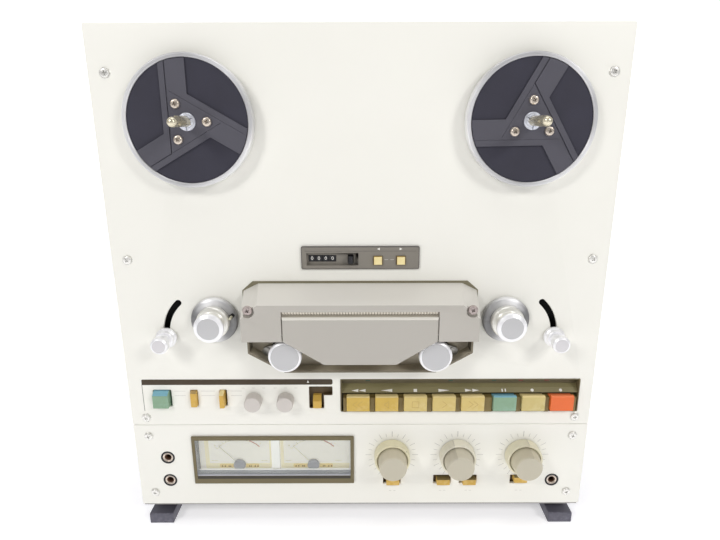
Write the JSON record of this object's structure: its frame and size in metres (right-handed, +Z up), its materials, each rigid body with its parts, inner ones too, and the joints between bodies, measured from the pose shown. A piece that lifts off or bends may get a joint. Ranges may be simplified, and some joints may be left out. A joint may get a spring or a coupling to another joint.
{
  "type": "reel-to-reel tape deck",
  "caption": "Upright reel-to-reel tape deck with reel tables, tension arms, a hinged head cover, a row of transport keys, twin level meters and stacked level knobs.",
  "frame": {"origin": "centre of the bounding box at the floor, midway under the deck", "axes": "+Z up, +X to the right seen from the front, the front faces -Y"},
  "size_m": [0.432, 0.256, 0.4628],
  "materials": {
    "cream_panel": "satin cream paint",
    "case_paint": "textured grey-brown paint",
    "plated_steel": "zinc plated steel",
    "aluminium": "turned, satin",
    "taupe_plastic": "fine grain",
    "tray_plastic": "fine grain",
    "housing_paint": "satin warm grey",
    "bay_plastic": "fine grain",
    "foot_plastic": "matt dark grey",
    "ochre_plastic": "satin moulded",
    "teal_plastic": "satin moulded",
    "orange_plastic": "satin moulded",
    "khaki_plastic": "satin moulded",
    "knob_plastic": "satin moulded",
    "knob_grey": "satin moulded",
    "dark_plastic": "matt",
    "motor_steel": "dark zinc",
    "head_metal": "ground"
  },
  "bodies": {
    "body": {"cabinet_shell": "case_paint", "rear_cover": "dark_plastic", "transport_panel": "cream_panel", "amplifier_panel": "cream_panel", "chassis_plate": "plated_steel", "counter_bezel": "taupe_plastic", "head_tray": "tray_plastic", "head_housing": "housing_paint", "head_block": "head_metal", "control_bay": "bay_plastic", "meter_bezel": "bay_plastic", "foot_left": "foot_plastic", "foot_right": "foot_plastic", "reel_motor_left": "motor_steel", "reel_motor_right": "motor_steel", "capstan_motor": "motor_steel"},
    "reel_table_left": {"reel_table_left": "aluminium"},
    "tension_arm_left": {"tension_arm_left": "aluminium"},
    "tension_roller_left": {"tension_roller_left": "aluminium"},
    "guide_roller_left": {"guide_roller_left": "aluminium"},
    "pinch_arm_left": {"pinch_arm_left": "plated_steel"},
    "pinch_roller_left": {"pinch_roller_left": "aluminium"},
    "capstan_left": {"capstan_left": "plated_steel"},
    "reel_table_right": {"reel_table_right": "aluminium"},
    "tension_arm_right": {"tension_arm_right": "aluminium"},
    "tension_roller_right": {"tension_roller_right": "aluminium"},
    "guide_roller_right": {"guide_roller_right": "aluminium"},
    "pinch_arm_right": {"pinch_arm_right": "plated_steel"},
    "pinch_roller_right": {"pinch_roller_right": "aluminium"},
    "capstan_right": {"capstan_right": "plated_steel"},
    "head_cover": {"head_cover": "housing_paint"},
    "power_button": {"power_button": "teal_plastic"},
    "reel_switch": {"reel_switch": "ochre_plastic"},
    "speed_switch": {"speed_switch": "ochre_plastic"},
    "auto_reverse_knob": {"auto_reverse_knob": "knob_grey"},
    "pitch_knob": {"pitch_knob": "knob_grey"},
    "cue_lever": {"cue_lever": "ochre_plastic"},
    "key_rewind": {"key_rewind": "ochre_plastic"},
    "key_play_reverse": {"key_play_reverse": "ochre_plastic"},
    "key_stop": {"key_stop": "ochre_plastic"},
    "key_play": {"key_play": "ochre_plastic"},
    "key_fast_forward": {"key_fast_forward": "ochre_plastic"},
    "key_pause": {"key_pause": "teal_plastic"},
    "key_rec_mute": {"key_rec_mute": "khaki_plastic"},
    "key_record": {"key_record": "orange_plastic"},
    "counter_reset": {"counter_reset": "dark_plastic"},
    "timer_button_left": {"timer_button_left": "khaki_plastic"},
    "timer_button_right": {"timer_button_right": "khaki_plastic"},
    "mic_knob_outer": {"mic_knob_outer": "knob_plastic"},
    "mic_knob_inner": {"mic_knob_inner": "knob_plastic"},
    "line_knob_outer": {"line_knob_outer": "knob_plastic"},
    "line_knob_inner": {"line_knob_inner": "knob_plastic"},
    "output_knob_outer": {"output_knob_outer": "knob_plastic"},
    "output_knob_inner": {"output_knob_inner": "knob_plastic"},
    "mic_att_switch": {"mic_att_switch": "ochre_plastic"},
    "line_switch_left": {"line_switch_left": "ochre_plastic"},
    "line_switch_right": {"line_switch_right": "ochre_plastic"},
    "monitor_switch": {"monitor_switch": "ochre_plastic"},
    "needle_left": {"needle_left": "dark_plastic"},
    "needle_right": {"needle_right": "dark_plastic"}
  },
  "joints": [
    {"name": "reel_spin_left", "type": "hinge", "parent": "body", "child": "reel_table_left", "pos_m": [-0.1367, -0.0825, 0.3883], "axis": [0, -1, 0], "continuous": true},
    {"name": "tension_swing_left", "type": "hinge", "parent": "body", "child": "tension_arm_left", "pos_m": [-0.1355, -0.0725, 0.2041], "axis": [0, 1, 0], "range_deg": [0, 51.5]},
    {"name": "tension_roller_spin_left", "type": "hinge", "parent": "tension_arm_left", "child": "tension_roller_left", "pos_m": [-0.1744, -0.0925, 0.20083], "axis": [0, -1, 0], "continuous": true},
    {"name": "guide_spin_left", "type": "hinge", "parent": "body", "child": "guide_roller_left", "pos_m": [-0.1295, -0.0925, 0.218], "axis": [0, -1, 0], "continuous": true},
    {"name": "pinch_swing_left", "type": "hinge", "parent": "body", "child": "pinch_arm_left", "pos_m": [-0.084, -0.0815, 0.189], "axis": [0, -1, 0], "range_deg": [0, 9.4]},
    {"name": "pinch_roller_spin_left", "type": "hinge", "parent": "pinch_arm_left", "child": "pinch_roller_left", "pos_m": [-0.0649, -0.0925, 0.193], "axis": [0, -1, 0], "continuous": true},
    {"name": "capstan_spin_left", "type": "hinge", "parent": "body", "child": "capstan_left", "pos_m": [-0.0658, -0.0825, 0.2132], "axis": [0, -1, 0], "continuous": true},
    {"name": "reel_spin_right", "type": "hinge", "parent": "body", "child": "reel_table_right", "pos_m": [0.1367, -0.0825, 0.3883], "axis": [0, -1, 0], "continuous": true},
    {"name": "tension_swing_right", "type": "hinge", "parent": "body", "child": "tension_arm_right", "pos_m": [0.1355, -0.0725, 0.2041], "axis": [0, -1, 0], "range_deg": [0, 51.5]},
    {"name": "tension_roller_spin_right", "type": "hinge", "parent": "tension_arm_right", "child": "tension_roller_right", "pos_m": [0.1744, -0.0925, 0.20083], "axis": [0, -1, 0], "continuous": true},
    {"name": "guide_spin_right", "type": "hinge", "parent": "body", "child": "guide_roller_right", "pos_m": [0.1295, -0.0925, 0.218], "axis": [0, -1, 0], "continuous": true},
    {"name": "pinch_swing_right", "type": "hinge", "parent": "body", "child": "pinch_arm_right", "pos_m": [0.084, -0.0815, 0.189], "axis": [0, 1, 0], "range_deg": [0, 9.4]},
    {"name": "pinch_roller_spin_right", "type": "hinge", "parent": "pinch_arm_right", "child": "pinch_roller_right", "pos_m": [0.0649, -0.0925, 0.193], "axis": [0, -1, 0], "continuous": true},
    {"name": "capstan_spin_right", "type": "hinge", "parent": "body", "child": "capstan_right", "pos_m": [0.0658, -0.0825, 0.2132], "axis": [0, -1, 0], "continuous": true},
    {"name": "head_cover_lift", "type": "hinge", "parent": "body", "child": "head_cover", "pos_m": [0, -0.1081, 0.2286], "axis": [-1, 0, 0], "range_deg": [0, 95]},
    {"name": "power_press", "type": "slide", "parent": "body", "child": "power_button", "axis": [0, 1, 0], "range_m": [0, 0.003], "stiffness_N_per_m": 400},
    {"name": "reel_switch_press", "type": "slide", "parent": "body", "child": "reel_switch", "axis": [0, 1, 0], "range_m": [0, 0.0025], "stiffness_N_per_m": 400},
    {"name": "speed_switch_press", "type": "slide", "parent": "body", "child": "speed_switch", "axis": [0, 1, 0], "range_m": [0, 0.003], "stiffness_N_per_m": 400},
    {"name": "auto_reverse_turn", "type": "hinge", "parent": "body", "child": "auto_reverse_knob", "pos_m": [-0.0995, -0.0815, 0.1373], "axis": [0, 1, 0], "range_deg": [-30, 30]},
    {"name": "pitch_turn", "type": "hinge", "parent": "body", "child": "pitch_knob", "pos_m": [-0.0697, -0.0815, 0.1373], "axis": [0, 1, 0], "range_deg": [-140, 140]},
    {"name": "cue_slide", "type": "slide", "parent": "body", "child": "cue_lever", "axis": [0, 0, 1], "range_m": [0, 0.0085]},
    {"name": "rewind_press", "type": "slide", "parent": "body", "child": "key_rewind", "axis": [0, 1, 0], "range_m": [0, 0.0022], "stiffness_N_per_m": 350},
    {"name": "play_reverse_press", "type": "slide", "parent": "body", "child": "key_play_reverse", "axis": [0, 1, 0], "range_m": [0, 0.0022], "stiffness_N_per_m": 350},
    {"name": "stop_press", "type": "slide", "parent": "body", "child": "key_stop", "axis": [0, 1, 0], "range_m": [0, 0.0022], "stiffness_N_per_m": 350},
    {"name": "play_press", "type": "slide", "parent": "body", "child": "key_play", "axis": [0, 1, 0], "range_m": [0, 0.0022], "stiffness_N_per_m": 350},
    {"name": "fast_forward_press", "type": "slide", "parent": "body", "child": "key_fast_forward", "axis": [0, 1, 0], "range_m": [0, 0.0022], "stiffness_N_per_m": 350},
    {"name": "pause_press", "type": "slide", "parent": "body", "child": "key_pause", "axis": [0, 1, 0], "range_m": [0, 0.0022], "stiffness_N_per_m": 350},
    {"name": "rec_mute_press", "type": "slide", "parent": "body", "child": "key_rec_mute", "axis": [0, 1, 0], "range_m": [0, 0.0022], "stiffness_N_per_m": 350},
    {"name": "record_press", "type": "slide", "parent": "body", "child": "key_record", "axis": [0, 1, 0], "range_m": [0, 0.0022], "stiffness_N_per_m": 350},
    {"name": "counter_reset_press", "type": "slide", "parent": "body", "child": "counter_reset", "axis": [0, 1, 0], "range_m": [0, 0.0025], "stiffness_N_per_m": 300},
    {"name": "timer_press_left", "type": "slide", "parent": "body", "child": "timer_button_left", "axis": [0, 1, 0], "range_m": [0, 0.002], "stiffness_N_per_m": 300},
    {"name": "timer_press_right", "type": "slide", "parent": "body", "child": "timer_button_right", "axis": [0, 1, 0], "range_m": [0, 0.002], "stiffness_N_per_m": 300},
    {"name": "mic_outer_turn", "type": "hinge", "parent": "body", "child": "mic_knob_outer", "pos_m": [0.0302, -0.0825, 0.078], "axis": [0, 1, 0], "range_deg": [-150, 150]},
    {"name": "mic_inner_turn", "type": "hinge", "parent": "body", "child": "mic_knob_inner", "pos_m": [0.0302, -0.0925, 0.078], "axis": [0, 1, 0], "range_deg": [-150, 150]},
    {"name": "line_outer_turn", "type": "hinge", "parent": "body", "child": "line_knob_outer", "pos_m": [0.0929, -0.0825, 0.078], "axis": [0, 1, 0], "range_deg": [-150, 150]},
    {"name": "line_inner_turn", "type": "hinge", "parent": "body", "child": "line_knob_inner", "pos_m": [0.0929, -0.0925, 0.078], "axis": [0, 1, 0], "range_deg": [-150, 150]},
    {"name": "output_outer_turn", "type": "hinge", "parent": "body", "child": "output_knob_outer", "pos_m": [0.1558, -0.0825, 0.078], "axis": [0, 1, 0], "range_deg": [-150, 150]},
    {"name": "output_inner_turn", "type": "hinge", "parent": "body", "child": "output_knob_inner", "pos_m": [0.1558, -0.0925, 0.078], "axis": [0, 1, 0], "range_deg": [-150, 150]},
    {"name": "mic_att_slide", "type": "slide", "parent": "body", "child": "mic_att_switch", "axis": [0, 0, 1], "range_m": [0, 0.0024]},
    {"name": "line_slide_left", "type": "slide", "parent": "body", "child": "line_switch_left", "axis": [0, 0, 1], "range_m": [0, 0.0024]},
    {"name": "line_slide_right", "type": "slide", "parent": "body", "child": "line_switch_right", "axis": [0, 0, 1], "range_m": [0, 0.0024]},
    {"name": "monitor_slide", "type": "slide", "parent": "body", "child": "monitor_switch", "axis": [0, 0, -1], "range_m": [0, 0.0024]},
    {"name": "needle_swing_left", "type": "hinge", "parent": "body", "child": "needle_left", "pos_m": [-0.119, -0.0705, 0.0624], "axis": [0, 1, 0], "range_deg": [0, 86]},
    {"name": "needle_swing_right", "type": "hinge", "parent": "body", "child": "needle_right", "pos_m": [-0.0463, -0.0705, 0.0624], "axis": [0, 1, 0], "range_deg": [0, 86]}
  ],
  "couplings": [
    {"joint": "pinch_swing_right", "follows": "pinch_swing_left", "ratio": 1},
    {"joint": "capstan_spin_right", "follows": "capstan_spin_left", "ratio": 1}
  ]
}
